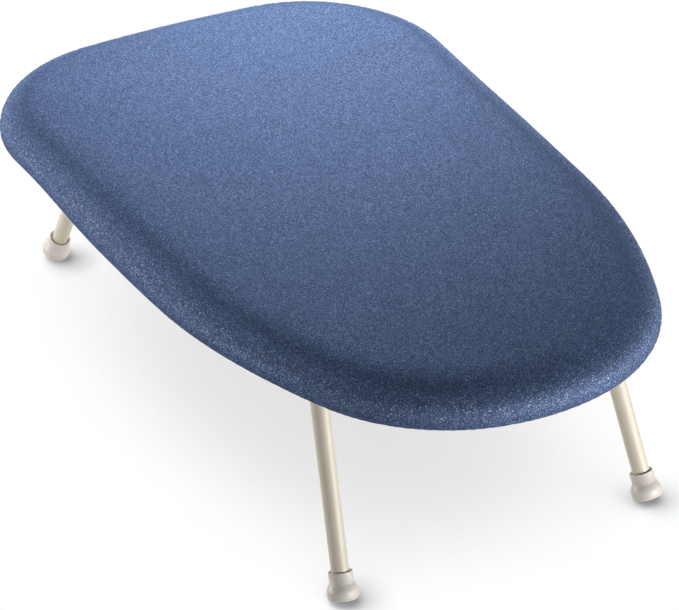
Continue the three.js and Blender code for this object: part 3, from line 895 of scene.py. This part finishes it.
def hem_band():
    """The elastic as a round band inside the hem, a small circle carried round the outline."""
    x, y, turn = outline(720)[:3]
    a = np.linspace(0, math.tau, 13)[:, None]
    inset = HEM_REACH - HEM_HEIGHT / 2 + ELASTIC_RADIUS * np.cos(a)
    z = SKIRT_BOTTOM + HEM_HEIGHT / 2 + ELASTIC_RADIUS * np.sin(a)
    grid = np.stack([x - inset * np.cos(turn), y - inset * np.sin(turn), z + np.zeros_like(x)], axis=2)
    return new_object("elastic_band", grid, grid_faces(len(a), len(x)), crease=80)


band = hem_band()
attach(band, "board")
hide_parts("hem_elastic")
dress(band, braid)

for end_name, end in LEG_ENDS.items():
    corner = half_width_at(end["pivot"]) - HEM_REACH - LEG_INSETS[end_name]
    tube = leg_frame(end_name + "_leg_tube", end, corner)
    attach(tube, end["body"])
    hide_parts(end_name + "_leg_frame")
    dress(tube, cream)
    for side, sign in (("left", 1), ("right", -1)):
        cap = foot_cap(f"{end_name}_{side}_cap", end, corner, sign)
        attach(cap, end["body"])
        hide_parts(f"{end_name}_{side}_foot_cap")
        dress(cap, plastic)
        for spot in ("inner", "outer"):
            pin = rivet(f"{end_name}_{side}_{spot}_pin", f"{end_name}_{side}_{spot}_rivet")
            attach(pin, "board")
            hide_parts(f"{end_name}_{side}_{spot}_rivet")
            dress(pin, zinc)
        eased_copy(f"{end_name}_{side}_strap", f"{end_name}_{side}_saddle", SADDLE_EASE)
    eased_copy(end_name + "_hat_channel", end_name + "_cross_channel", CHANNEL_EASE)


# Studio

def area_light(name, at, to, size, power, color=(1, 1, 1)):
    data = bpy.data.lights.new(name, "AREA")
    data.shape = "RECTANGLE"
    data.size, data.size_y = size
    data.energy = power
    data.color = color
    light = bpy.data.objects.new(name, data)
    light.location = at
    light.visible_camera = False
    light.rotation_euler = (Vector(to) - Vector(at)).to_track_quat("-Z", "Y").to_euler()
    bpy.context.scene.collection.objects.link(light)


def seen_directly(tree):
    """1 for camera, glossy and transmission rays, and 0 for the rest."""
    path = tree.nodes.new("ShaderNodeLightPath")
    total = path.outputs["Is Camera Ray"]
    for name in ("Is Glossy Ray", "Is Transmission Ray"):
        more = tree.nodes.new("ShaderNodeMath")
        more.operation = "MAXIMUM"
        tree.links.new(total, more.inputs[0])
        tree.links.new(path.outputs[name], more.inputs[1])
        total = more.outputs[0]
    return total


DOME_LEVEL = 0.0
FLOOR_HALF = 6.0
FLOOR_TONE = (0.8, 0.8, 0.8, 1)

# Each shadow's reach, the way its sky leans, how much open sky is darkest and clear, and its dark level
FLOOR_SHADOWS = (
    (0.6, (0, 0, 1), (0.34, 0.56), 0.75),
    (0.03, (-0.40, -0.62, 0.55), (0.35, 0.95), 0.36),
)


def floor_brightness(tree):
    """The floor's white less the object's shadow: a wide soft one, and a short one at the right of each cap.

    Each is the share of the sky, or of the sky on the light's side, that the object hides within a reach.
    """
    total = None
    for reach, lean, open_share, dark in FLOOR_SHADOWS:
        open_sky = tree.nodes.new("ShaderNodeAmbientOcclusion")
        open_sky.samples = 24
        open_sky.inputs["Distance"].default_value = reach
        normal = tree.nodes.new("ShaderNodeCombineXYZ")
        for socket, value in zip(normal.inputs, Vector(lean).normalized()):
            socket.default_value = value
        tree.links.new(normal.outputs[0], open_sky.inputs["Normal"])
        shade = tree.nodes.new("ShaderNodeMapRange")
        shade.inputs["From Min"].default_value, shade.inputs["From Max"].default_value = open_share
        shade.inputs["To Min"].default_value, shade.inputs["To Max"].default_value = dark, 1.0
        tree.links.new(open_sky.outputs["AO"], shade.inputs["Value"])
        if total is None:
            total = shade.outputs["Result"]
            continue
        both = tree.nodes.new("ShaderNodeMath")
        both.operation = "MULTIPLY"
        tree.links.new(total, both.inputs[0])
        tree.links.new(shade.outputs["Result"], both.inputs[1])
        total = both.outputs[0]
    return total


world = bpy.data.worlds.new("studio")
bpy.context.scene.world = world
world.use_nodes = True
background = world.node_tree.nodes["Background"]
level = world.node_tree.nodes.new("ShaderNodeMapRange")
world.node_tree.links.new(seen_directly(world.node_tree), level.inputs["Value"])
level.inputs["To Min"].default_value = DOME_LEVEL
level.inputs["To Max"].default_value = 1.0
world.node_tree.links.new(level.outputs["Result"], background.inputs["Strength"])
background.inputs["Color"].default_value = (1, 1, 1, 1)

floor_mesh = bpy.data.meshes.new("floor")
floor_corners = [(x * FLOOR_HALF, y * FLOOR_HALF, 0) for x, y in ((-1, -1), (1, -1), (1, 1), (-1, 1))]
floor_mesh.from_pydata(floor_corners, [], [(0, 1, 2, 3)])
floor = bpy.data.objects.new("floor", floor_mesh)
bpy.context.scene.collection.objects.link(floor)
paper = bpy.data.materials.new("paper floor")
paper.use_nodes = True
tree = paper.node_tree
tree.nodes.remove(tree.nodes["Principled BSDF"])
plain = tree.nodes.new("ShaderNodeBsdfDiffuse")
plain.inputs["Color"].default_value = FLOOR_TONE
shown = tree.nodes.new("ShaderNodeEmission")
tree.links.new(floor_brightness(tree), shown.inputs["Strength"])
choose = tree.nodes.new("ShaderNodeMixShader")
tree.links.new(seen_directly(tree), choose.inputs[0])
tree.links.new(plain.outputs[0], choose.inputs[1])
tree.links.new(shown.outputs[0], choose.inputs[2])
tree.links.new(choose.outputs[0], tree.nodes["Material Output"].inputs["Surface"])
floor_mesh.materials.append(paper)

middle = (0, 0, 0.12)
low_strip = (0.9, 0.16)
area_light("nose strip", (1.2, 0.4, 0.15), middle, low_strip, 7.0)
area_light("low fill", (1.15, -0.62, 0.09), middle, low_strip, 1.0)
area_light("far strip", (0.9, 0.9, 0.15), middle, low_strip, 4.8)
area_light("near strip", (-0.6, -1.15, 0.15), middle, low_strip, 7.2)
area_light("right tail screen", (-1.3, -0.8, 0.5), middle, (0.9, 0.9), 6.4)
area_light("tail overhead", (-0.30, 0.10, 0.50), (-0.2, 0.05, 0.18), (0.35, 0.35), 2.7)
warm = (1.0, 0.92, 0.80)
area_light("far tail overhead", (-0.45, 0.40, 0.50), (-0.1, 0, 0.18), (0.3, 0.3), 1.0, color=warm)

TARGET = Vector((0.11864, -0.06489, 0.15797))
AZIMUTH, ELEVATION = math.radians(61.75), math.radians(32.78)
DISTANCE = 2.023
FOCAL_LENGTH = 156.64
SENSOR_WIDTH = 36
back = Vector((
    math.sin(AZIMUTH) * math.cos(ELEVATION),
    -math.cos(AZIMUTH) * math.cos(ELEVATION),
    math.sin(ELEVATION),
))
camera_data = bpy.data.cameras.new("camera")
camera_data.lens = FOCAL_LENGTH
camera_data.sensor_width = SENSOR_WIDTH
camera_data.sensor_fit = "HORIZONTAL"
camera = bpy.data.objects.new("camera", camera_data)
camera.location = TARGET + back * DISTANCE
camera.rotation_euler = (-back).to_track_quat("-Z", "Y").to_euler()
bpy.context.scene.collection.objects.link(camera)
bpy.context.scene.camera = camera
bpy.context.scene.view_settings.view_transform = "Standard"
